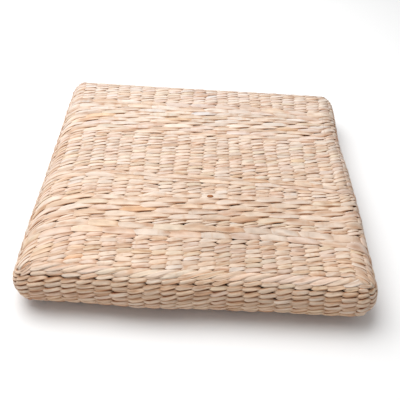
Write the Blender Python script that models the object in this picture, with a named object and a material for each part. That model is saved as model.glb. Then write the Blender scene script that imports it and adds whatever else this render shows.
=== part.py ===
"""A thick square seat mat woven from straw: one filled body.

Two-strand rows run from left to right over the top, a rope-like row goes round its rim, and courses run
round the sides down to the flat underside. Each row and course is a rib in the body's surface.
Metres, +Z up, +X right, +Y back. The origin is the middle of the underside.
"""

import math

import bmesh
import bpy

NAME = "seat_mat"

# The whole mat.
WIDTH = 0.400
DEPTH = 0.400
HEIGHT = 0.060

# Its section at the side: a quarter ellipse from the top out to the widest level, and one under it.
WIDEST = 0.0295  # height at which the sides reach furthest out
TOP_TURN = 0.0295  # how far in from the outer edge the top begins to turn down
BOTTOM_TURN = 0.0385  # how far in the flat underside ends
CROWN = 0.0005  # how much lower the panel is at its rim than in its middle
CROWN_POWER = 4  # how closely that keeps to the rim
SECTION_STEPS = 200  # for measuring along the section

# Plan corners, anticlockwise from the front left: side of X, side of Y, radius of the outer edge.
CORNERS = (
    (-1, -1, 0.026),
    (1, -1, 0.029),
    (1, 1, 0.024),
    (-1, 1, 0.022),
)
INNER_RADIUS = 0.004  # of a plan corner, where an inset has used up the rest

# Rows of the top panel, front to back: number of rows, their pitch, how far their ribs stand up.
BANDS = (
    (7, 0.0066, 0.0014),  # plain
    (2, 0.0100, 0.0012),  # long floats
    (6, 0.0088, 0.0024),  # thick
    (3, 0.0063, 0.0014),  # plain
    (2, 0.0070, 0.0012),  # long floats
    (12, 0.0063, 0.0014),  # plain
    (1, 0.0065, 0.0012),  # long floats
    (7, 0.0082, 0.0022),  # thick
    (2, 0.0095, 0.0012),  # long floats
    (6, 0.0062, 0.0014),  # plain
)
TALLEST_ROW = max(relief for _, _, relief in BANDS)
ROW_END = 0.125  # share of half the panel's width over which the ribs rise at their ends

# Round the sides: the rim's rope-like row, then plain courses at an even pitch.
RIM_START = 0.005  # along the section, from where the top begins to turn
RIM_LENGTH = 0.0100
RIM_RELIEF = 0.0026
COURSES = 13
COURSE_RELIEF = 0.0018
FLAT_ZONE = 0.010  # below this height the ribs fade out, so that the underside is flat

# Where the sides leave the straight: axis, side, place along the side, reach, how far out.
SIDE_WAVES = (
    ("x", 1, 0.085, 0.050, -0.0035),
    ("x", 1, -0.060, 0.060, 0.0010),
    ("x", -1, -0.100, 0.070, 0.0012),
    ("y", -1, -0.052, 0.050, 0.0035),
    ("y", 1, -0.010, 0.090, -0.0015),
)
WAVE_POWER = 3  # how closely those keep to the side
ROW_DROOP = 0.012  # how far the rows bend forward at the left rim
DROOP_REACH = 0.055  # how far from that rim the bend begins
DROOP_POWER = 1.5  # how closely the bend keeps to the rim

# Mesh density.
PANEL_COLUMNS = 12
STEPS_PER_ROW = 3
SIDE_STEPS = 10  # along each straight side
CORNER_STEPS = 5  # round each plan corner
RIM_STEPS = 4
SEAM_GAP = 0.0015  # between the panel's edge and the first ring, where a short strip joins them
WELD = 1e-6

STRAW_COLOUR = (0.76, 0.58, 0.42, 1.0)
STRAW_ROUGHNESS = 0.75


def corner_radius(outer, inset):
    return max(outer - inset, INNER_RADIUS)


def panel_reach(x_side, y, inset):
    """How far the panel goes to one side at this y."""
    outer = next(r for sx, sy, r in CORNERS if sx == x_side and sy == (1 if y > 0 else -1))
    radius = corner_radius(outer, inset)
    past = max(0.0, abs(y) - (DEPTH / 2 - inset - radius))
    indent = radius - math.sqrt(max(0.0, radius**2 - past**2))
    return WIDTH / 2 - inset - indent


def loop_points(inset):
    """The plan outline at an inset, anticlockwise from the front left corner, as (x, y)."""
    half_x, half_y = WIDTH / 2 - inset, DEPTH / 2 - inset
    ends = []
    for index, (sx, sy, outer) in enumerate(CORNERS):
        radius = corner_radius(outer, inset)
        centre = (sx * (half_x - radius), sy * (half_y - radius))
        start = math.pi + index * math.pi / 2
        arc = [start + math.pi / 2 * step / CORNER_STEPS for step in range(CORNER_STEPS + 1)]
        ends.append([(centre[0] + radius * math.cos(a), centre[1] + radius * math.sin(a)) for a in arc])
    points = []
    for index, arc in enumerate(ends):
        points += arc
        (x0, y0), (x1, y1) = arc[-1], ends[(index + 1) % len(ends)][0]
        for step in range(1, SIDE_STEPS):
            along = step / SIDE_STEPS
            points.append((x0 + (x1 - x0) * along, y0 + (y1 - y0) * along))
    return points


def on_section(angle):
    """Inset, height and normal of the section, by angle from level (0) up to the top (90 degrees) or down."""
    out, up = math.cos(angle), math.sin(angle)
    turn, tall = (TOP_TURN, HEIGHT - TALLEST_ROW - WIDEST) if up > 0 else (BOTTOM_TURN, WIDEST)
    size = math.hypot(out / turn, up / tall)
    return turn * (1 - out), WIDEST + tall * up, out / turn / size, up / tall / size


def section_lengths():
    """(length from the top, angle) at even angles all the way down the section."""
    table, last = [(0.0, math.pi / 2)], on_section(math.pi / 2)[:2]
    for step in range(1, SECTION_STEPS + 1):
        angle = math.pi / 2 - math.pi * step / SECTION_STEPS
        here = on_section(angle)[:2]
        table.append((table[-1][0] + math.dist(last, here), angle))
        last = here
    return table


def angle_at(along, table):
    for (length0, angle0), (length1, angle1) in zip(table, table[1:]):
        if along <= length1:
            return angle0 + (angle1 - angle0) * (along - length0) / (length1 - length0)
    return table[-1][1]


def section_stations():
    """Inset, height, the normal's outward and upward parts, and relief of each ring, from the rim down."""
    table = section_lengths()
    end = table[-1][0]
    pitch = (end - RIM_START - RIM_LENGTH) / COURSES
    ribs = [(RIM_START, RIM_LENGTH, RIM_RELIEF, RIM_STEPS)]
    for course in range(COURSES):
        ribs.append((RIM_START + RIM_LENGTH + pitch * course, pitch, COURSE_RELIEF, STEPS_PER_ROW))
    stations = []
    for start, length, relief, steps in ribs:
        for step in range(steps):
            part = step / steps
            point = on_section(angle_at(start + length * part, table))
            stations.append(point + (relief * math.sin(math.pi * part),))
    return stations + [on_section(table[-1][1]) + (0.0,)]


def panel_inset():
    """How far in from the outer edge the panel ends."""
    return section_stations()[0][0] + SEAM_GAP


def row_stations():
    """(y, relief) of each line of the panel, from front to back."""
    span = DEPTH - 2 * panel_inset()
    scale = span / sum(rows * pitch for rows, pitch, _ in BANDS)
    stations, y = [], -span / 2
    for rows, pitch, relief in BANDS:
        for _ in range(rows):
            for step in range(STEPS_PER_ROW):
                part = step / STEPS_PER_ROW
                stations.append((y + pitch * scale * part, relief * math.sin(math.pi * part)))
            y += pitch * scale
    return stations + [(y, 0.0)]


def droop(x, y):
    """How far forward a row lies at x, y because it bends down towards the left rim."""
    rim = WIDTH / 2 - TOP_TURN
    bend = max(0.0, -x - (rim - DROOP_REACH)) / DROOP_REACH
    return ROW_DROOP * bend**DROOP_POWER * max(0.0, 1 - (y / rim) ** 2)


def panel():
    """The top panel: a grid whose lines along X are the valleys and crests of the rows."""
    stations = row_stations()
    mesh = bmesh.new()
    bmesh.ops.create_grid(mesh, x_segments=PANEL_COLUMNS, y_segments=len(stations) - 1, size=0.5)
    inset = panel_inset()
    rim = WIDTH / 2 - inset
    for vertex in mesh.verts:
        across = 2 * vertex.co.x
        y, relief = stations[round((vertex.co.y + 0.5) * (len(stations) - 1))]
        x = across * panel_reach(1 if across > 0 else -1, y, inset)
        fade = min(1.0, (1 - abs(across)) / ROW_END)
        sink = CROWN * max(abs(x) / rim, abs(y) / rim) ** CROWN_POWER
        vertex.co = (x, y - droop(x, y), HEIGHT - TALLEST_ROW - sink + relief * fade)
    return mesh


def sides():
    """The rim and the side courses: a grid rolled into a ring and welded where its ends meet."""
    stations = section_stations()
    loops = [loop_points(station[0]) for station in stations]
    around = len(loops[0])
    mesh = bmesh.new()
    bmesh.ops.create_grid(mesh, x_segments=around, y_segments=len(stations) - 1, size=0.5)
    outline = loop_points(0.0)
    for vertex in mesh.verts:
        column = round((vertex.co.x + 0.5) * around) % around
        ring = round((vertex.co.y + 0.5) * (len(stations) - 1))
        _, height, outward, upward, relief = stations[ring]
        x, y = loops[ring][column]
        before, after = outline[column - 1], outline[(column + 1) % around]
        tangent_x, tangent_y = after[0] - before[0], after[1] - before[1]
        size = math.hypot(tangent_x, tangent_y)
        lift = relief * min(1.0, height / FLAT_ZONE)
        sink = CROWN * max(0.0, upward)
        x += lift * outward * tangent_y / size
        y -= lift * outward * tangent_x / size
        vertex.co = (x, y, max(0.0, height - sink + lift * upward))
    bmesh.ops.remove_doubles(mesh, verts=mesh.verts, dist=WELD)
    return mesh


def wave(point):
    """Moves a point by the dents and swells of the sides, most at the side and not at all in the middle."""
    shift = {"x": 0.0, "y": 0.0}
    for axis, side, place, reach, out in SIDE_WAVES:
        towards, along = (point.x, point.y) if axis == "x" else (point.y, point.x)
        near = max(0.0, side * towards / (WIDTH / 2))
        shift[axis] += side * out * near**WAVE_POWER * math.exp(-(((along - place) / reach) ** 2))
    point.x += shift["x"]
    point.y += shift["y"]


def to_size(mesh):
    """Brings the body to its stated size, centred over the origin and standing on Z = 0."""
    for axis, size, low_end in ((0, WIDTH, -WIDTH / 2), (1, DEPTH, -DEPTH / 2), (2, HEIGHT, 0.0)):
        places = [vertex.co[axis] for vertex in mesh.verts]
        low, scale = min(places), size / (max(places) - min(places))
        for vertex in mesh.verts:
            vertex.co[axis] = low_end + (vertex.co[axis] - low) * scale


def open_loops(mesh):
    return [edge for edge in mesh.edges if edge.is_boundary]


def join(panel_mesh, side_mesh):
    """One closed body: the panel and the ring joined by a strip, and the ring's lower end filled flat."""
    holder = bpy.data.meshes.new("panel_holder")
    panel_mesh.to_mesh(holder)
    panel_mesh.free()
    body = side_mesh
    body.from_mesh(holder)
    bpy.data.meshes.remove(holder)
    upper = [edge for edge in open_loops(body) if edge.verts[0].co.z > HEIGHT / 2]
    bmesh.ops.bridge_loops(body, edges=upper)
    bmesh.ops.holes_fill(body, edges=open_loops(body), sides=0)
    bmesh.ops.triangulate(body, faces=[face for face in body.faces if len(face.verts) > 4])
    bmesh.ops.recalc_face_normals(body, faces=body.faces)
    return body


def straw():
    material = bpy.data.materials.new("straw")
    material.use_nodes = True
    shader = material.node_tree.nodes["Principled BSDF"]
    shader.inputs["Base Color"].default_value = STRAW_COLOUR
    shader.inputs["Roughness"].default_value = STRAW_ROUGHNESS
    shader.inputs["Metallic"].default_value = 0.0
    return material


def seat_mat():
    body = join(panel(), sides())
    for vertex in body.verts:
        wave(vertex.co)
    to_size(body)
    data = bpy.data.meshes.new(NAME)
    body.to_mesh(data)
    body.free()
    data.shade_smooth()
    data.materials.append(straw())
    return bpy.data.objects.new(NAME, data)


def main():
    for item in list(bpy.data.objects):
        bpy.data.objects.remove(item)
    parts = bpy.data.collections.new("straw_seat_mat")
    bpy.context.scene.collection.children.link(parts)
    parts.objects.link(seat_mat())


main()
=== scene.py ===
"""Looks of the woven straw seat mat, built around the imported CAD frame.

Every stitch is its own tapered strand of twisted straw. Rows of stitches cross the top, a rope-like row
lies along the front of its rim, courses of stitches go round the sides, and plain rows cross the
underside. They lie on a darker body that shows only in the gaps between them.
Metres, +Z up, +X right, +Y back, as in the frame.
"""

import math
from collections import namedtuple

import bpy
import numpy as np
from mathutils import Matrix, Vector


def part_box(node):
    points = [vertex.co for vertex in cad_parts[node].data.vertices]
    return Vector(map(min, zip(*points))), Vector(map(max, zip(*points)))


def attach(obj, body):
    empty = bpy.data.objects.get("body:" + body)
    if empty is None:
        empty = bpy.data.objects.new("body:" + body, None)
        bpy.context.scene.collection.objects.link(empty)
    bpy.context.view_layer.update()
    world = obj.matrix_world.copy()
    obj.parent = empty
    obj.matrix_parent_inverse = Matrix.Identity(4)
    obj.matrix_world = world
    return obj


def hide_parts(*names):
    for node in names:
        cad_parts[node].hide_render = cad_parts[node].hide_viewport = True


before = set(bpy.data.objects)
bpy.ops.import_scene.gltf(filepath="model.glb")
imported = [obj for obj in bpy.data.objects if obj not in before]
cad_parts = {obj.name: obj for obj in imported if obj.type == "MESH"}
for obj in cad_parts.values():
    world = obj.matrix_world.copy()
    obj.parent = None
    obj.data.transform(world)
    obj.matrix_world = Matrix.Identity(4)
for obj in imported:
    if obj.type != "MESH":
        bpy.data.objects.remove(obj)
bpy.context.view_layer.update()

SEED = 11
NODE = "seat_mat"
LOW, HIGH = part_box(NODE)
HALF = (HIGH.x - LOW.x) / 2
HEIGHT = HIGH.z - LOW.z

# The section at the side, as the crests of the stitches have it.
WIDEST = 0.0297  # height at which the sides reach furthest out
TOP_TURN = 0.0294  # how far in from the outer edge the top begins to turn down
BOTTOM_TURN = 0.0386  # how far in the flat underside ends
SECTION_STEPS = 240

# Plan corners, anticlockwise from the front left: side of X, side of Y, radius of the outer edge.
CORNERS = np.array(
    (
        (-1, -1, 0.0257),
        (1, -1, 0.0289),
        (1, 1, 0.0227),
        (-1, 1, 0.0216),
    )
)
INNER_RADIUS = 0.004

# Where the sides leave the straight: axis, side, place along the side, reach, how far out.
SIDE_WAVES = (
    ("x", 1, 0.085, 0.050, -0.0035),
    ("x", 1, -0.060, 0.060, 0.0010),
    ("x", -1, -0.100, 0.070, 0.0012),
    ("y", -1, -0.052, 0.050, 0.0035),
    ("y", 1, -0.010, 0.090, -0.0015),
)
WAVE_POWER = 3  # how closely those keep to the side
# How the rows bend forward where they near a side: side of X, where along X it begins, over what reach,
# how far, how sharply, and which shares of it the rows have at the places below.
DROOPS = (
    (-1, 0.1256, 0.045, 0.011, 2.0, (1.0, 0.90, 0.60, -0.4)),
    (1, 0.1650, 0.020, -0.009, 1.3, (-1.2, 0.6, 1.0, 1.0)),
)
DROOP_PLACES = (-1.0, -0.6, 0.6, 1.0)  # from the front to the back, as shares of half the depth
# How the rows bend forward at the right, round the floats: middle and reach along Y, where along X
# it begins, over what reach, how far.
BENDS = (
    (0.130, 0.028, 0.095, 0.085, -0.007),
    (-0.028, 0.028, 0.085, 0.085, -0.007),
    (-0.118, 0.026, 0.085, 0.085, -0.005),
)
# Swells of the top: waves along X, waves along Y, phase, height.
SWELLS = (
    (1.1, 0.6, 0.4, 0.0004),
    (2.3, 1.7, 2.1, 0.0003),
    (3.1, 4.3, 4.0, 0.00025),
)

# Warps: the stitches of a row meet over them.
WARP_PITCH = 0.0174
FIRST_WARP = -0.2290
WARP_DRIFT = (  # places along X, and how far the warps are moved along it there
    (-0.080, -0.050, 0.005, 0.050, 0.100),
    (0.0, 0.0045, 0.0055, 0.0027, 0.0),
)
WARPS = 28
ROUND = 89  # columns of stitches round the sides
ROUND_SHIFT = 0.0022  # turns the columns, so that those of the front meet the warps

# How the stitches of each kind lie and look:
# warps   warps that one spans
# width   half its width, as a share of its row's pitch
# thick   half its thickness
# lean    how far its first end lies across the row
# dip     how far its ends go down
# depth   how far its crest stays below the outline
# lap     how far the side across the row is lifted over the next row, below 0 where it is the other side
# line how wide the line of painted shade along its edges is
# shade   how dark that painted shade is, from 0 to 1
# other   the share of that painted shade on the side that isn't lifted
# square  below 1 makes its section squarer
# tone    what its straw's red, green and blue are multiplied by; the rim's is also painted light
Style = namedtuple("Style", "warps width thick lean dip depth lap line shade other square tone")
PALE = (1.00, 1.055, 1.08)
BROWN = (0.99, 0.98, 0.92)
# The rim row's straw is paler, and also painted lighter as painted light, where more light falls on the rim.
RIM_PALE_PAINTED_LIGHT = (1.03, 1.05, 1.035)
KNOT_BROWN = (0.52, 0.28, 0.13)
STYLES = {
    "plain": Style(1, 0.59, 0.0012, -0.0014, 0.0004, 0.0003, -0.0003, 0.0007, 0.70, 0.4, 0.48, PALE),
    "thick": Style(2, 0.61, 0.0013, -0.0014, 0.0004, 0.0001, -0.0003, 0.0008, 0.80, 0.4, 0.50, PALE),
    "flat": Style(2, 0.61, 0.0012, -0.0014, 0.0004, 0.0002, -0.0002, 0.0007, 0.75, 0.4, 0.48, PALE),
    "float": Style(2, 0.62, 0.0012, 0.0000, 0.0003, 0.0002, -0.0002, 0.0007, 0.50, 0.4, 0.45, PALE),
    "course": Style(1, 0.54, 0.0022, 0.0014, 0.0007, 0.0000, 0.0007, 0.0013, 1.00, 1.0, 0.60, BROWN),
    "rim": Style(2, 0.34, 0.0020, 0.0040, 0.0008, 0.0000, 0.0004, 0.0010, 0.80, 0.6, 0.55, RIM_PALE_PAINTED_LIGHT),
    "under": Style(1, 0.57, 0.0018, -0.0012, 0.0008, 0.0003, -0.0005, 0.0008, 1.00, 0.6, 0.60, BROWN),
    "knot": Style(1, 0.50, 0.0014, 0.0000, 0.0003, -0.0010, 0.0000, 0.0010, 0.60, 1.0, 0.70, KNOT_BROWN),
}
LOWER = 2.2  # how much wider and darker the painted shade lines of the lowest course are than those of the first
LOWER_PAINTED_LIGHT = (0.94, 1.24)  # painted light: what the colour of the first course is multiplied by, and that of the lowest

# Rows of the top, back to front: piece, kind, rows, pitch, where along X they begin and end.
LEFT, RIGHT = -1.0, 1.0  # past both sides
WEDGE = -0.064  # left of here two plain rows take the place of a thick one
BANDS = (
    ("top_back", "plain", 8, 0.0062, LEFT, RIGHT),
    ("top_back", "float", 2, 0.0095, LEFT, RIGHT),
    ("top_back", "flat", 7, 0.0083, LEFT, RIGHT),
    ("top_middle", "plain", 13, 0.0063, LEFT, RIGHT),
    ("top_middle", "float", 2, 0.0070, LEFT, RIGHT),
    ("top_middle", "plain", 3, 0.0063, LEFT, RIGHT),
    ("top_middle", "plain", 2, 0.0063, LEFT, WEDGE),
    ("top_middle", "thick", 1, 0.0090, WEDGE, RIGHT),
    ("top_front", "thick", 4, 0.0090, LEFT, RIGHT),
    ("top_front", "plain", 2, 0.0042, LEFT, RIGHT),
    ("top_front", "float", 2, 0.0100, LEFT, RIGHT),
    ("top_front", "plain", 7, 0.0067, LEFT, RIGHT),
)
FADE = 0.012  # over which a row that ends narrows away
LEAST_SHARE = 0.45  # a stitch narrower than this share of its row's pitch is left out
WIDEST_SHARE = 0.8  # a stitch is at least this share as wide as its row is anywhere along it
SHORTEST = 0.3  # a stitch that is cut off shorter than this share of the warps' pitch is left out
WANDER = 0.0012  # how far the warps stray to the sides
WANDER_X, WANDER_Y = 31.0, 47.0  # how often, as radians a metre
TUCK = 0.004  # how deep the rows end under the first course
HIDDEN = 0.009  # how far past the seam the middle of their last stitches may be

# Lengths down the section at which the courses begin. At the front a rim row lies above them.
SEAM_FRONT = 0.0155
SEAM_RIGHT = 0.029
SEAM_BACK = 0.018
SEAM_LEFT = 0.028
RIM_PITCH = 0.0105
COURSES = 14
RIM_LEAST = 0.0015  # the rim row ends where it would be narrower
# Courses by piece: the first, and the one after the last.
SIDE_PIECES = (
    ("side_upper", 0, 5),
    ("side_middle", 5, 10),
    ("side_lower", 10, COURSES),
)

UNDER_ROWS = 50
UNDER_PITCH = 0.0064
UNDER_PAST = 0.002  # how far the rows of the underside go on past its flat part
BODY_INSET = 0.0028  # how far the body stays below the outline

# A strand's mesh.
OVERLAP = 0.16  # how far past its span a stitch goes on, tucked under its neighbours
RINGS = 11
CENTRE = RINGS // 2
UNDER_RINGS = 6
AROUND = np.radians((0, 20, 41, 56, 68, 79, 101, 112, 124, 139, 160, 180, 240, 300))
# Along a stitch, from one warp (0) to the next (1): its width, its dip and its lap, against the most.
TAPER = ((-0.16, 0.0, 0.18, 0.60, 0.85, 1.0, 1.16), (0.36, 0.68, 1.00, 1.00, 0.87, 0.62, 0.28))
SINK = ((-0.16, 0.0, 0.20, 0.55, 0.85, 1.0, 1.16), (2.6, 0.45, 0.0, 0.0, 0.40, 1.1, 2.8))
LIFT = ((0.0, 0.35, 0.60, 1.0), (0.15, 0.40, 1.00, 1.00))
LEAST_THICK = 0.45  # how thick it would be where its width runs out, against the most
# Most stitches have a crease along them: where round the strand, how far it sways, how wide and deep it
# is, and how dark it is painted, as painted shade in the crease.
CREASE_PLACES = np.radians((50, 125))
CREASE_SWAY = 0.2
CREASE_WIDTH = 0.30
CREASE_DEPTH = 0.0006
CREASE_SHADE = 0.28
# Painted shade at the edges of the strands, where they meet: how light it leaves the straw there, and
# powers of that for red, green and blue.
PAINTED_SHADE_LIGHT = 0.42
PAINTED_SHADE_HUE = (1.0, 1.85, 2.6)
# Painted shade along a stitch: how dark its lifted edge is painted, against the most, and how light the
# whole of it is painted, darker at the end that goes under the next stitch.
SLIT = ((0.0, 0.35, 0.60, 1.0), (0.45, 0.60, 1.0, 1.0))
END_PAINTED_SHADE = ((0.8, 1.1), (1.0, 0.8))
# The least light that the painted shade leaves.
DARKEST = 0.05
UNDER_SIDE = -0.5  # height in the section, of half its thickness, below which is the strand's underside, painted in full shade

# How uneven the stitches are: standard deviations first, then ranges.
UNEVEN_START = 0.0008
UNEVEN_PLACE = 0.0003
UNEVEN_SWING = 0.3
UNEVEN_WIDTH = 0.04
UNEVEN_THICK = 0.08
UNEVEN_TILT = 0.0001
UNEVEN_COURSE = 0.06  # of a stitch's length, by which a whole course is shifted round
UNEVEN_DEPTH = 0.0002
OPEN = (0.5, 1.4)  # how far a lap is lifted, against the usual
TWIST = (0.5, 2.5)  # how far a strand's folds turn round it along its length
FOLDS = (0.06, 0.05)  # how much thicker a strand is on its three folds, and on its two

# Straw: colour as sRGB, share of the strands.
STRAWS = (
    ((224, 200, 181), 0.34),  # cream
    ((221, 191, 177), 0.24),  # pinkish beige
    ((228, 213, 201), 0.10),  # pale
    ((212, 184, 160), 0.16),  # tan
    ((214, 197, 169), 0.08),  # yellow green
    ((209, 170, 133), 0.03),  # orange tan
    ((219, 210, 203), 0.05),  # grey white
)
SPREAD = 0.30  # how far the straws differ, of the colours above
KEEP_STRAW = 0.5  # how often a strand goes on in the straw it had two stitches before
LIGHT_SPREAD = 0.03
WARMTH_SPREAD = np.array([[0.012, 0.0, -0.02]])
APART = 50.0  # range of the straw coordinate that tells the strands apart

# Single strands of the top that stand out: X, Y, what their red, green and blue are multiplied by.
ORANGE, GREY = (1.02, 0.91, 0.77), (0.95, 0.98, 1.03)
MARKS = (
    (-0.130, 0.112, ORANGE),
    (-0.150, 0.101, ORANGE),
    (-0.025, 0.100, ORANGE),
    (0.130, 0.088, ORANGE),
    (0.130, 0.017, ORANGE),
    (-0.080, -0.087, ORANGE),
    (-0.110, -0.096, ORANGE),
    (0.040, -0.097, ORANGE),
    (-0.115, -0.112, ORANGE),
    (-0.125, -0.165, ORANGE),
    (0.010, 0.115, GREY),
    (-0.075, -0.030, GREY),
    (0.030, -0.060, GREY),
)
MARK_REACH = (0.010, 0.0035)  # how near along X and Y the middle of a strand is to count as marked
# Painted light: how much more red, green and blue the straw of the top is given at its back edge, where
# more light falls, than in its middle. The front edge is given as much less.
BACK_PAINTED_LIGHT = (0.0, 0.047, 0.097)
# Parts of the top that are darker: X, Y, reach, by how much.
ZONES = (
    (0.050, -0.150, 0.080, -0.13),
    (0.020, -0.070, 0.080, -0.04),
)
KNOT = (0.012, -0.060, 0.0085, 0.0048)  # a small brown knot: X, Y, length, width

# Patterns of the straw: how often each changes along and across a strand, a metre, and its detail.
FIBRES = (90, 1500), 3.0
STAINS = (110, 260), 2.0
CREASES = (60, 560), 1.5
STREAKS = (35, 900), 1.0
# From which range of a pattern to which range of what it does: how light fibres are, and how far stains
# and streaks show.
FIBRE_LIGHT = (0.3, 0.7), (0.84, 1.08)
STAIN_SHOWS = (0.58, 0.78), (0.0, 0.5)
STREAK_SHOWS = (0.60, 0.72), (0.0, 0.55)
# Colours as sRGB that a full stain and a full streak multiply the straw by.
STAIN = (225, 190, 150)
STREAK = (205, 160, 118)
# Strength and height of the relief of the fibres, and of the creases.
FINE_BUMP = 0.5, 0.0004
COARSE_BUMP = 0.8, 0.0016
STRAW_ROUGHNESS = 0.6
STRAW_SPECULAR = 0.35
# The straw underneath, painted brown as shade in the gaps between the strands: its darkest and lightest
# colour as sRGB, and how often that changes, a metre.
INNER_DARK, INNER_LIGHT = (150, 108, 72), (196, 154, 114)
INNER_SCALE = 260.0
INNER_ROUGHNESS = 0.9

WORLD_LIGHT = 0.42
KEY_PLACE = (-0.42, 0.24, 1.2)
KEY_SIZE = 1.3
KEY_POWER = 22.2
FLOOR_REACH = 6.0
FLOOR_GREY = 0.9
FLOOR_ROUGHNESS = 0.8

# The camera: degrees round from the front, above the floor and of its own roll, and the point that it
# looks at.
AZIMUTH, ELEVATION, ROLL = -1.44, 42.81, 4.16
DISTANCE = 0.741
TARGET = (0.0008, -0.0342, HEIGHT / 2)
SENSOR = 36.0
LENS = 52.88

# A strand's place in its cell of the map: its wall, and the discs of its two ends.
WALL_FROM, WALL_SIZE = (0.04, 0.02), (0.92, 0.88)
DISC_PLACES = ((0.04, 0.96), (0.96, 0.96))
DISC_RADIUS = 0.02

rng = np.random.default_rng(SEED)


def linear(colour):
    """An sRGB colour from 0 to 255 as linear light from 0 to 1."""
    share = np.asarray(colour, float) / 255
    return np.where(share <= 0.04045, share / 12.92, ((share + 0.055) / 1.055) ** 2.4)


def section_table():
    """Length down the section, inset, height, and the outward and upward parts of the normal."""
    angle = np.linspace(math.pi / 2, -math.pi / 2, SECTION_STEPS)
    out, up = np.cos(angle), np.sin(angle)
    turn = np.where(up > 0, TOP_TURN, BOTTOM_TURN)
    tall = np.where(up > 0, HEIGHT - WIDEST, WIDEST)
    inset, height = turn * (1 - out), WIDEST + tall * up
    slope = np.hypot(out / turn, up / tall)
    steps = np.hypot(np.diff(inset), np.diff(height))
    return np.concatenate([[0.0], np.cumsum(steps)]), inset, height, out / turn / slope, up / tall / slope


SECTION = section_table()
SECTION_LENGTH = SECTION[0][-1]
FLAT = HALF - TOP_TURN
TOP_LEFT = -FLAT - SEAM_LEFT - TUCK / 2
TOP_RIGHT = FLAT + SEAM_RIGHT + TUCK / 2


def on_section(length):
    """Inset, height, and the normal's outward and upward parts, at lengths down the section or past it."""
    inset, height, out, up = (np.interp(length, SECTION[0], column) for column in SECTION[1:])
    return inset + np.maximum(0, -length) + np.maximum(0, length - SECTION_LENGTH), height, out, up


def outline_table():
    """Length round the outer edge, anticlockwise from the front left, at each corner's start and end."""
    lengths = [0.0]
    for index, (_, _, radius) in enumerate(CORNERS):
        following = CORNERS[(index + 1) % len(CORNERS)][2]
        lengths.append(lengths[-1] + math.pi / 2 * radius)
        lengths.append(lengths[-1] + 2 * HALF - radius - following)
    return np.array(lengths)


OUTLINE = outline_table()
ROUND_LENGTH = OUTLINE[-1]
ROUND_PITCH = ROUND_LENGTH / ROUND


def corner(index, inset):
    """Centre and radius of a plan corner at an inset."""
    side_x, side_y, outer = np.moveaxis(CORNERS[index % len(CORNERS)], -1, 0)
    radius = np.maximum(outer - inset, INNER_RADIUS)
    reach = HALF - inset - radius
    return side_x * reach, side_y * reach, radius


def on_outline(length, inset):
    """Point and outward direction on the plan outline, by length round the outer edge and inset."""
    part = np.interp(length % ROUND_LENGTH, OUTLINE, np.arange(len(OUTLINE)))
    index = np.minimum(part // 2, len(CORNERS) - 1).astype(int)
    within = part - 2 * index
    angle = math.pi + (index + np.minimum(within, 1)) * math.pi / 2
    along = np.maximum(within - 1, 0)
    out_x, out_y = np.cos(angle), np.sin(angle)
    x0, y0, radius0 = corner(index, inset)
    x1, y1, radius1 = corner(index + 1, inset)
    x = (x0 + radius0 * out_x) * (1 - along) + (x1 + radius1 * out_x) * along
    y = (y0 + radius0 * out_y) * (1 - along) + (y1 + radius1 * out_y) * along
    return x, y, out_x, out_y


def seam_at(out_x, out_y):
    """How far down the section the courses begin and the top's rows end, where the sides face this way."""
    across = np.where(out_x > 0, SEAM_RIGHT, SEAM_LEFT)
    lengthwise = np.where(out_y > 0, SEAM_BACK, SEAM_FRONT)
    seam = across * out_x**2 + lengthwise * out_y**2
    return seam, seam - RIM_PITCH * np.maximum(0, -out_y) ** 2


def on_side(along, down, rise):
    """Points of the sides: length round the mat, length down the section, height over the outline."""
    inset, height, out, up = on_section(down)
    x, y, out_x, out_y = on_outline(along, inset)
    return np.stack([x + rise * out * out_x, y + rise * out * out_y, height + rise * up], axis=-1)


def over_top(length):
    """Distance from the middle in plan, by length over the top and on down the section."""
    down = np.maximum(abs(length) - FLAT, 0)
    return np.where(down > 0, np.sign(length) * (HALF - np.interp(down, SECTION[0], SECTION[1])), length)


def from_outline(x, y):
    """How far points lie inside the plan outline, and the way outward there."""
    front_left, front_right, back_right, back_left = CORNERS[:, 2]
    radius = np.where(
        y < 0,
        np.where(x < 0, front_left, front_right),
        np.where(x < 0, back_left, back_right),
    )
    past_x, past_y = abs(x) - (HALF - radius), abs(y) - (HALF - radius)
    both = np.hypot(np.maximum(past_x, 0), np.maximum(past_y, 0))
    inset = radius - both - np.minimum(np.maximum(past_x, past_y), 0)
    turning = (past_x > 0) & (past_y > 0)
    size = np.where(turning, both, 1.0)
    out_x = np.where(turning, past_x / size, past_x >= past_y) * np.sign(x)
    out_y = np.where(turning, past_y / size, past_x < past_y) * np.sign(y)
    return inset, out_x, out_y


def past_seam(x, y):
    """How far down the section points of the top lie, how far that is past the seam, and the way outward."""
    inset, out_x, out_y = from_outline(x, y)
    upper = SECTION_STEPS // 2
    down = np.interp(-inset, -SECTION[1][:upper], SECTION[0][:upper])
    return down, down - seam_at(out_x, out_y)[1], out_x, out_y


def on_top(across, lengthwise, rise):
    """Points of the top: lengths from the middle over the surface, and height over the outline."""
    x, y = over_top(across), over_top(lengthwise)
    down, past, out_x, out_y = past_seam(x, y)
    _, height, out, up = on_section(down)
    lift = rise - TUCK * np.clip(past / TUCK, 0, 1)
    swell = sum(
        tall * np.sin(2 * math.pi * (waves_x * x + waves_y * y) / (2 * HALF) + phase)
        for waves_x, waves_y, phase, tall in SWELLS
    )
    return np.stack([x + lift * out * out_x, y + lift * out * out_y, height + swell + lift * up], axis=-1)


def on_underside(x, y, rise):
    """Points of the flat underside: its place, and height over the outline, which is downward here."""
    return np.stack([x, y, -rise], axis=-1)


def present(x, first, last):
    """How much of a row is there at x, from 0 to 1, when the row goes from first to last."""
    return np.clip((x - first) / FADE + 0.5, 0, 1) * np.clip((last - x) / FADE + 0.5, 0, 1)


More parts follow.
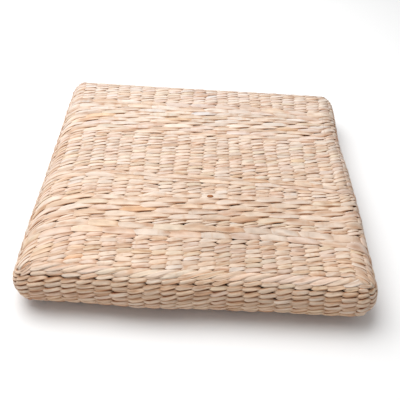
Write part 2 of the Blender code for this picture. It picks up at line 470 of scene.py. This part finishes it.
def row_lines(x):
    """The pitch of each row of the top at x, and the y of its middle."""
    pitches = []
    for _, _, rows, pitch, first, last in BANDS:
        pitches += [pitch * present(x, first, last)] * rows
    pitches = np.array(pitches)
    pitches *= (2 * FLAT + SEAM_FRONT + SEAM_BACK - RIM_PITCH) / pitches.sum(axis=0)
    edges = FLAT + SEAM_BACK - np.concatenate([np.zeros((1, *np.shape(x))), np.cumsum(pitches, axis=0)])
    bent = edges.copy()
    for middle, spread, begin, reach, amount in BENDS:
        near = np.clip((x - begin) / reach, 0, 1)
        bent = bent + amount * near * np.exp(-(((edges - middle) / spread) ** 2))
    for side, begin, reach, amount, sharpness, shares in DROOPS:
        near = np.maximum(0, side * x - begin) / reach
        bent = bent - amount * near**sharpness * np.interp(edges / FLAT, DROOP_PLACES, shares)
    return bent[:-1] - bent[1:], (bent[:-1] + bent[1:]) / 2


def pick_straws(count):
    """A straw for each stitch of one row. Two strands take turns, and each often keeps to its straw."""
    shares = np.array([share for _, share in STRAWS])
    picks = rng.choice(len(STRAWS), size=count, p=shares / shares.sum())
    goes_on = rng.random(count) < KEEP_STRAW
    for index in range(2, count):
        if goes_on[index]:
            picks[index] = picks[index - 2]
    return picks


def tints(picks):
    """The linear colour of each stitch, with its own small change in lightness and warmth."""
    colours = np.array([linear(colour) for colour, _ in STRAWS])[picks]
    usual = sum(share * linear(colour) for colour, share in STRAWS)
    colours = usual + SPREAD * (colours - usual)
    light = 1 + LIGHT_SPREAD * rng.standard_normal((len(picks), 1))
    return colours * light * (1 + WARMTH_SPREAD * rng.standard_normal((len(picks), 1)))


def marks_and_painted_light(x, y):
    """What the colour of stitches with their middles at x, y is multiplied by."""
    # Painted light: paler towards the back, where more light falls.
    factors = 1 + np.array(BACK_PAINTED_LIGHT) * (y / HALF)[:, None]
    for zone_x, zone_y, reach, amount in ZONES:
        factors *= 1 + amount * np.exp(-((x - zone_x) ** 2 + (y - zone_y) ** 2) / reach**2)[:, None]
    for mark_x, mark_y, colour in MARKS:
        factors[(abs(x - mark_x) < MARK_REACH[0]) & (abs(y - mark_y) < MARK_REACH[1])] *= colour
    return factors


def squarish(part, square):
    """A sine or cosine that makes the section squarer, where square is below 1."""
    return np.sign(part) * abs(part) ** square


def strands(place, along, across, pitch, style, picks):
    """Tubes on a surface, one a stitch. along and across are (stitches, rings), pitch is one a stitch.

    Returns the points as (stitches, rings, around, 3), and likewise the straw coordinates and the colours.
    """
    stitches, rings = along.shape
    each = (stitches, 1, 1)
    pitch = pitch[:, None, None]
    turn = np.linspace(-OVERLAP, 1 + OVERLAP, rings)[None, :, None]
    taper, sink, lift = (np.interp(turn, *table) for table in (TAPER, SINK, LIFT))
    width = style.width * pitch * (1 + UNEVEN_WIDTH * rng.standard_normal(each)) * taper
    thick = style.thick * (1 + UNEVEN_THICK * rng.standard_normal(each))
    thick = thick * (LEAST_THICK + (1 - LEAST_THICK) * taper)
    phase = rng.uniform(0, 2 * math.pi, (2, *each))
    twist = rng.uniform(*TWIST, each) * turn
    threefold = FOLDS[0] * np.cos(3 * AROUND + phase[0] + twist)
    fold = 1 + threefold + FOLDS[1] * np.cos(2 * AROUND + phase[1] - twist)
    aside, above = squarish(np.cos(AROUND), style.square), squarish(np.sin(AROUND), style.square)
    open_by = rng.uniform(*OPEN, each)
    tilt = (style.lap * lift * open_by + UNEVEN_TILT * rng.standard_normal(each)) * aside
    middle = tilt - style.thick - style.depth - style.dip * sink - UNEVEN_DEPTH * rng.random(each)
    crease = rng.uniform(*CREASE_PLACES, each) + CREASE_SWAY * np.sin(3 * turn + phase[0])
    crease = np.exp(-(((AROUND - crease) / CREASE_WIDTH) ** 2)) * rng.random(each)
    offset = width * aside * fold
    reach = across[:, :, None] + offset
    rise = middle + thick * above * fold - CREASE_DEPTH * crease
    points = place(np.broadcast_to(along[:, :, None], reach.shape), reach, rise)
    lengthwise = np.abs(along[:, -1:] - along[:, :1])[:, :, None] * np.linspace(0, 1, rings)[None, :, None]
    straw = np.broadcast_arrays(lengthwise, AROUND * style.thick, rng.uniform(0, APART, each))

    # Painted shade: darker lines where the strands meet, most on the lifted edge, the underside in full
    # shade, the ends that go under the next stitch and the creases darker.
    line = np.clip(1 + (abs(offset) - pitch / 2) / style.line, 0, 1)
    line = np.where(above < UNDER_SIDE, 1, line)
    line = line * np.where(style.lap * aside > 0, np.interp(turn, *SLIT), style.other)
    light = np.maximum(1 - style.shade * line * np.minimum(open_by, 1) * (1 - PAINTED_SHADE_LIGHT), DARKEST)
    light = light * np.interp(turn, *END_PAINTED_SHADE) * (1 - CREASE_SHADE * crease)
    colours = tints(picks)[:, None, None, :] * np.array(style.tone) * light[..., None] ** np.array(PAINTED_SHADE_HUE)
    return points, np.stack(straw, axis=-1), colours


def spans(warps, shift, first, count, pitch):
    """Start and end of each stitch of a row along it."""
    starts = first + pitch * (np.arange(0, count, warps) - shift)
    starts = starts + UNEVEN_START * rng.standard_normal(len(starts))
    return starts, np.append(starts[1:], starts[-1] + warps * pitch)


def within(starts, ends, low, high):
    """The stitches of a row cut off at low and high, without those of which too little is left."""
    starts, ends = np.clip(starts, low, high), np.clip(ends, low, high)
    whole = ends - starts > SHORTEST * WARP_PITCH
    return starts[whole], ends[whole]


def ring_places(starts, ends, rings):
    """How far along its row each ring of each stitch lies, and its swing to the sides, from 1 to -1."""
    turn = np.linspace(-OVERLAP, 1 + OVERLAP, rings)
    return starts[:, None] + (ends - starts)[:, None] * turn[None, :], np.cos(math.pi * turn)[None, :]


def unevenly(swing, stitches):
    """The swing of each of so many stitches."""
    return swing * (1 + UNEVEN_SWING * rng.standard_normal((stitches, 1)))


def top_row(row, style, pitch):
    """The strands of one row of the top, counted from the back."""
    shift = (row % 2) * (style.warps - 1)
    starts, ends = spans(style.warps, shift, FIRST_WARP, WARPS + style.warps - 1, WARP_PITCH)
    starts, ends = (warp + np.interp(warp, *WARP_DRIFT) for warp in (starts, ends))
    starts, ends = within(starts, ends, TOP_LEFT, TOP_RIGHT)
    picks = pick_straws(len(starts))
    along, swing = ring_places(starts, ends, RINGS)
    pitches, middles = (lines[row] for lines in row_lines(along))
    local = np.maximum(pitches[:, CENTRE], WIDEST_SHARE * pitches.max(axis=1))
    middle = middles + style.lean * unevenly(swing, len(starts))
    middle = middle + UNEVEN_PLACE * rng.standard_normal((len(starts), 1))
    along = along + WANDER * np.sin(WANDER_X * along + WANDER_Y * middle)
    _, past, _, _ = past_seam(over_top(along[:, CENTRE]), over_top(middle[:, CENTRE]))
    kept = (local > LEAST_SHARE * pitch) & (past < HIDDEN)
    along, middle = along[kept], middle[kept]
    points, straw, colours = strands(on_top, along, middle, local[kept], style, picks[kept])
    return points, straw, colours * marks_and_painted_light(along[:, CENTRE], middle[:, CENTRE])[:, None, None, :]


def top_rows():
    """The strands of the top, by piece."""
    made = {}
    row = 0
    for piece, kind, rows, pitch, _, _ in BANDS:
        for _ in range(rows):
            made.setdefault(piece, []).append(top_row(row, STYLES[kind], pitch))
            row += 1
    made["top_middle"].append(knot())
    return {piece: joined(groups) for piece, groups in made.items()}


def knot():
    """The small knot on the top, as one short strand."""
    x, y, length, width = KNOT
    along = x + length * np.linspace(-0.5, 0.5, RINGS)[None, :]
    middle = y + np.zeros((1, RINGS))
    return strands(on_top, along, middle, np.array([width]), STYLES["knot"], np.array([0]))


def rim_row():
    """The strands of the rim row, which lies along the front only."""
    style = STYLES["rim"]
    starts, _ = spans(1, 0, ROUND_SHIFT, ROUND, ROUND_PITCH)
    along, swing = ring_places(starts, starts + style.warps * ROUND_PITCH, RINGS)
    _, _, out_x, out_y = on_outline(along, 0.0)
    below, above = seam_at(out_x, out_y)
    middle = (below + above) / 2 + style.lean * swing
    local = (below - above)[:, CENTRE]
    picks = pick_straws(len(starts))
    kept = (local > RIM_LEAST) & (out_y[:, CENTRE] < 0)
    return strands(on_side, along[kept], middle[kept], local[kept], style, picks[kept])


def side_course(course):
    """The strands of one course of the sides, counted from the top."""
    starts, ends = spans(1, UNEVEN_COURSE * rng.standard_normal(), ROUND_SHIFT, ROUND, ROUND_PITCH)
    ends[-1] = starts[0] + ROUND_LENGTH
    along, swing = ring_places(starts, ends, RINGS)
    _, _, out_x, out_y = on_outline(along, 0.0)
    seam, _ = seam_at(out_x, out_y)
    pitch = (SECTION_LENGTH - seam) / COURSES
    front = np.maximum(0, -out_y[:, CENTRE])[:, None, None, None]
    tone = np.array(PALE) * (1 - front) + np.array(BROWN) * front
    # Painted light: the courses are painted lighter downwards.
    tone = tone * np.interp(course, (0, COURSES), LOWER_PAINTED_LIGHT)
    style = STYLES["course"]
    # The painted shade lines grow wider and darker downwards, and the laps lift further.
    more = 1 + (LOWER - 1) * course / COURSES
    style = style._replace(lap=style.lap * more, line=style.line * more, shade=style.shade * more, tone=tone)
    middle = seam + pitch * (course + 0.5) + style.lean * unevenly(swing, len(starts))
    middle = middle + UNEVEN_PLACE * rng.standard_normal((len(starts), 1))
    return strands(on_side, along, middle, pitch[:, CENTRE], style, pick_straws(len(starts)))


def under_rows():
    """The strands of the underside, which is out of sight: plain rows from side to side."""
    made = []
    style = STYLES["under"]
    edge = HALF - BOTTOM_TURN + UNDER_PAST
    for row in range(UNDER_ROWS):
        starts, ends = within(*spans(1, 0, FIRST_WARP, WARPS, WARP_PITCH), -edge, edge)
        along, swing = ring_places(starts, ends, UNDER_RINGS)
        middle = UNDER_PITCH * (row + 0.5 - UNDER_ROWS / 2) + style.lean * swing
        pitch = np.full(len(starts), UNDER_PITCH)
        made.append(strands(on_underside, along, middle, pitch, style, pick_straws(len(starts))))
    return joined(made)


def shape(points):
    """Moves points by the dents and swells of the sides, most at the side and not at all in the middle."""
    moved = points.copy()
    for axis, side, place, reach, out in SIDE_WAVES:
        index = 0 if axis == "x" else 1
        towards, along = points[..., index], points[..., 1 - index]
        near = np.maximum(0, side * towards / HALF)
        moved[..., index] += side * out * near**WAVE_POWER * np.exp(-(((along - place) / reach) ** 2))
    return moved


def joined(groups):
    """Several groups of strands as one."""
    return tuple(np.concatenate(parts) for parts in zip(*groups))


def strand_faces(stitches, rings, around):
    """The quads along the tubes and the end caps, as lists of points, and each corner's place in the map."""
    ring, step = np.meshgrid(np.arange(rings - 1), np.arange(around), indexing="ij")
    following = (step + 1) % around
    this, next_ring = ring * around, (ring + 1) * around
    quads = np.stack([this + step, next_ring + step, next_ring + following, this + following], axis=-1)
    quads = quads.reshape(-1, 4)
    lengthwise = np.stack([ring, ring + 1, ring + 1, ring], axis=-1).reshape(-1, 4) / (rings - 1)
    crosswise = np.stack([step, step, step + 1, step + 1], axis=-1).reshape(-1, 4) / around
    starts = np.arange(stitches)[:, None, None] * rings * around
    caps = np.stack([np.arange(around), (rings - 1) * around + np.arange(around)[::-1]])
    disc = np.stack([np.cos(AROUND), np.sin(AROUND)], axis=-1)
    disc_places = np.stack([disc, disc[::-1]]) * DISC_RADIUS + np.array(DISC_PLACES)[:, None, :]
    quad_places = np.array(WALL_FROM) + np.array(WALL_SIZE) * np.stack([lengthwise, crosswise], axis=-1)
    return (starts + quads).reshape(-1, 4), (starts + caps).reshape(-1, around), quad_places, disc_places


def map_places(stitches, places, cells):
    """Places within a cell, repeated for each stitch in its own cell of a square map."""
    index = np.arange(stitches)
    corner_of_cell = np.stack([index % cells, index // cells], axis=-1)[:, None, None, :]
    return ((corner_of_cell + places[None]) / cells).reshape(-1, 2)


def strand_object(name, group, material):
    """One mesh object from a group of strands."""
    points, straw, colours = group
    stitches, rings, around, _ = points.shape
    quads, caps, quad_places, disc_places = strand_faces(stitches, rings, around)
    mesh = bpy.data.meshes.new(name)
    mesh.vertices.add(stitches * rings * around)
    mesh.vertices.foreach_set("co", points.astype(np.float32).ravel())
    corners = np.concatenate([quads.ravel(), caps.ravel()])
    mesh.loops.add(len(corners))
    mesh.loops.foreach_set("vertex_index", corners.astype(np.int32))
    sizes = np.concatenate([np.full(len(quads), 4), np.full(len(caps), around)])
    mesh.polygons.add(len(sizes))
    mesh.polygons.foreach_set("loop_start", np.concatenate([[0], np.cumsum(sizes)[:-1]]).astype(np.int32))
    mesh.update(calc_edges=True)
    mesh.shade_smooth()
    coordinates = mesh.attributes.new("straw", "FLOAT_VECTOR", "POINT")
    coordinates.data.foreach_set("vector", straw.astype(np.float32).ravel())
    # The straw's own colour, with the painted shade and painted light in it.
    tint_and_painted_light = mesh.attributes.new("tint_and_painted_light", "FLOAT_COLOR", "POINT")
    rgba = np.concatenate([colours, np.ones((*colours.shape[:-1], 1))], axis=-1)
    tint_and_painted_light.data.foreach_set("color", rgba.astype(np.float32).ravel())
    cells = math.ceil(math.sqrt(stitches))
    places = np.concatenate([map_places(stitches, each, cells) for each in (quad_places, disc_places)])
    mesh.uv_layers.new(name="OFBake").uv.foreach_set("vector", places.astype(np.float32).ravel())
    mesh.materials.append(material)
    made = bpy.data.objects.new(name, mesh)
    bpy.context.scene.collection.objects.link(made)
    return made


def body_object(material):
    """The body under the stitches: the CAD solid drawn in by its own normals."""
    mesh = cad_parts[NODE].data.copy()
    mesh.name = "mat_body"
    mesh.materials.clear()
    for vertex, normal in zip(mesh.vertices, [item.vector.copy() for item in mesh.vertex_normals]):
        vertex.co -= normal * BODY_INSET
    mesh.materials.append(material)
    made = bpy.data.objects.new("mat_body", mesh)
    bpy.context.scene.collection.objects.link(made)
    return made


def node(tree, kind, place, **values):
    """A shader node, with its own settings."""
    made = tree.nodes.new("ShaderNode" + kind)
    made.location = place
    for name, value in values.items():
        setattr(made, name, value)
    return made


def streaks(tree, coordinates, scale, detail, row):
    """Noise that is stretched along the strands: how often it changes along and across them, a metre."""
    space = node(tree, "Mapping", (-1200, row))
    space.inputs["Scale"].default_value = (*scale, 1)
    tree.links.new(coordinates, space.inputs["Vector"])
    noise = node(tree, "TexNoise", (-1000, row))
    noise.inputs["Scale"].default_value = 1.0
    noise.inputs["Detail"].default_value = detail
    tree.links.new(space.outputs["Vector"], noise.inputs["Vector"])
    return noise.outputs["Fac"]


def ranged(tree, value, given, wanted, row):
    """A value brought from a given range to the wanted one."""
    made = node(tree, "MapRange", (-800, row))
    for name, end in zip(("From Min", "From Max", "To Min", "To Max"), (*given, *wanted)):
        made.inputs[name].default_value = end
    tree.links.new(value, made.inputs["Value"])
    return made.outputs["Result"]


def multiplied(tree, colour, factor, by, place):
    """A colour multiplied by another, as far as a factor says."""
    made = node(tree, "Mix", place, data_type="RGBA", blend_type="MULTIPLY")
    made.inputs["B"].default_value = (*linear(by), 1.0)
    tree.links.new(factor, made.inputs["Factor"])
    tree.links.new(colour, made.inputs["A"])
    return made.outputs["Result"]


def bumped(tree, height, strength, relief, place):
    """A bump node of a height, with its strength and how many metres it stands up."""
    made = node(tree, "Bump", place)
    made.inputs["Strength"].default_value = strength
    made.inputs["Distance"].default_value = relief
    tree.links.new(height, made.inputs["Height"])
    return made


def straw_material():
    """Straw: the strand's colour with fibres, stains and streaks, and relief of fibres and creases."""
    material = bpy.data.materials.new("woven_straw")
    material.use_nodes = True
    tree = material.node_tree
    shader = tree.nodes["Principled BSDF"]
    shader.inputs["Roughness"].default_value = STRAW_ROUGHNESS
    shader.inputs["Specular IOR Level"].default_value = STRAW_SPECULAR
    coordinates = node(tree, "Attribute", (-1400, 0), attribute_name="straw").outputs["Vector"]
    tint_and_painted_light = node(tree, "Attribute", (-1400, 300), attribute_name="tint_and_painted_light").outputs["Color"]
    fibres = streaks(tree, coordinates, *FIBRES, 0)
    stains = streaks(tree, coordinates, *STAINS, -300)
    creases = streaks(tree, coordinates, *CREASES, -600)
    dark = streaks(tree, coordinates, *STREAKS, -900)
    lit = node(tree, "VectorMath", (-600, 200), operation="SCALE")
    tree.links.new(tint_and_painted_light, lit.inputs[0])
    tree.links.new(ranged(tree, fibres, *FIBRE_LIGHT, 0), lit.inputs["Scale"])
    stain = ranged(tree, stains, *STAIN_SHOWS, -300)
    streak = ranged(tree, dark, *STREAK_SHOWS, -900)
    stained = multiplied(tree, lit.outputs["Vector"], stain, STAIN, (-350, 100))
    streaked = multiplied(tree, stained, streak, STREAK, (-150, 100))
    tree.links.new(streaked, shader.inputs["Base Color"])
    fine = bumped(tree, fibres, *FINE_BUMP, (-350, -300))
    coarse = bumped(tree, creases, *COARSE_BUMP, (-150, -300))
    tree.links.new(fine.outputs["Normal"], coarse.inputs["Normal"])
    tree.links.new(coarse.outputs["Normal"], shader.inputs["Normal"])
    return material


def body_material():
    """The straw under the stitches, in their shade: coarse, and painted brown as shade in the gaps."""
    material = bpy.data.materials.new("inner_straw")
    material.use_nodes = True
    tree = material.node_tree
    shader = tree.nodes["Principled BSDF"]
    shader.inputs["Roughness"].default_value = INNER_ROUGHNESS
    noise = node(tree, "TexNoise", (-600, 0))
    noise.inputs["Scale"].default_value = INNER_SCALE
    place = node(tree, "TexCoord", (-800, 0))
    tree.links.new(place.outputs["Object"], noise.inputs["Vector"])
    ramp = node(tree, "ValToRGB", (-400, 0))
    ramp.color_ramp.elements[0].color = (*linear(INNER_DARK), 1.0)
    ramp.color_ramp.elements[1].color = (*linear(INNER_LIGHT), 1.0)
    tree.links.new(noise.outputs["Fac"], ramp.inputs["Fac"])
    tree.links.new(ramp.outputs["Color"], shader.inputs["Base Color"])
    return material


def to_frame(objects):
    """Brings the pieces to the CAD node's own box."""
    points = []
    for item in objects:
        co = np.empty(len(item.data.vertices) * 3, np.float32)
        item.data.vertices.foreach_get("co", co)
        points.append(co.reshape(-1, 3).astype(float))
    low = np.min([co.min(axis=0) for co in points], axis=0)
    high = np.max([co.max(axis=0) for co in points], axis=0)
    scale = (np.array(HIGH) - np.array(LOW)) / (high - low)
    for item, co in zip(objects, points):
        placed = np.array(LOW) + (co - low) * scale
        item.data.vertices.foreach_set("co", placed.astype(np.float32).ravel())
        item.data.update()


def build():
    """All pieces of the mat, riding on the frame."""
    straw = straw_material()
    groups = top_rows()
    groups["rim_row"] = rim_row()
    courses = [side_course(course) for course in range(COURSES)]
    for piece, first, past in SIDE_PIECES:
        groups[piece] = joined(courses[first:past])
    groups["underside"] = under_rows()
    pieces = []
    for name, (points, coordinates, colours) in groups.items():
        pieces.append(strand_object(name, (shape(points), coordinates, colours), straw))
    to_frame(pieces)
    body = body_object(body_material())
    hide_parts(NODE)
    for piece in pieces + [body]:
        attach(piece, "root")


def floor():
    """A plain pale floor."""
    mesh = bpy.data.meshes.new("floor")
    corners = [(x * FLOOR_REACH, y * FLOOR_REACH, 0) for x, y in ((-1, -1), (1, -1), (1, 1), (-1, 1))]
    mesh.from_pydata(corners, [], [(0, 1, 2, 3)])
    material = bpy.data.materials.new("floor")
    material.use_nodes = True
    shader = material.node_tree.nodes["Principled BSDF"]
    shader.inputs["Base Color"].default_value = (FLOOR_GREY, FLOOR_GREY, FLOOR_GREY, 1.0)
    shader.inputs["Roughness"].default_value = FLOOR_ROUGHNESS
    mesh.materials.append(material)
    made = bpy.data.objects.new("floor", mesh)
    bpy.context.scene.collection.objects.link(made)


def lights():
    """Even light from all round, and one large lamp above, to the left and behind."""
    world = bpy.data.worlds.new("studio")
    bpy.context.scene.world = world
    world.use_nodes = True
    background = world.node_tree.nodes["Background"]
    background.inputs["Color"].default_value = (1.0, 1.0, 1.0, 1.0)
    background.inputs["Strength"].default_value = WORLD_LIGHT
    lamp = bpy.data.lights.new("key", "AREA")
    lamp.size = KEY_SIZE
    lamp.energy = KEY_POWER
    made = bpy.data.objects.new("key", lamp)
    made.location = KEY_PLACE
    made.rotation_mode = "QUATERNION"
    made.rotation_quaternion = (-made.location).to_track_quat("-Z", "Y")
    bpy.context.scene.collection.objects.link(made)


def camera():
    """Looks down on the front of the mat from straight ahead, with a slight tilt of the horizon."""
    azimuth, elevation, roll = (math.radians(angle) for angle in (AZIMUTH, ELEVATION, ROLL))
    back = Vector(
        (
            math.sin(azimuth) * math.cos(elevation),
            -math.cos(azimuth) * math.cos(elevation),
            math.sin(elevation),
        )
    )
    right = (-back).cross(Vector((0, 0, 1))).normalized()
    up = right.cross(-back)
    tilted_right = right * math.cos(roll) + up * math.sin(roll)
    tilted_up = up * math.cos(roll) - right * math.sin(roll)
    data = bpy.data.cameras.new("camera")
    data.sensor_width = SENSOR
    data.lens = LENS
    made = bpy.data.objects.new("camera", data)
    axes = Matrix((tilted_right, tilted_up, back)).transposed().to_4x4()
    made.matrix_world = Matrix.Translation(Vector(TARGET) + back * DISTANCE) @ axes
    bpy.context.scene.collection.objects.link(made)
    bpy.context.scene.camera = made


build()
floor()
lights()
camera()
bpy.context.scene.view_settings.view_transform = "Standard"
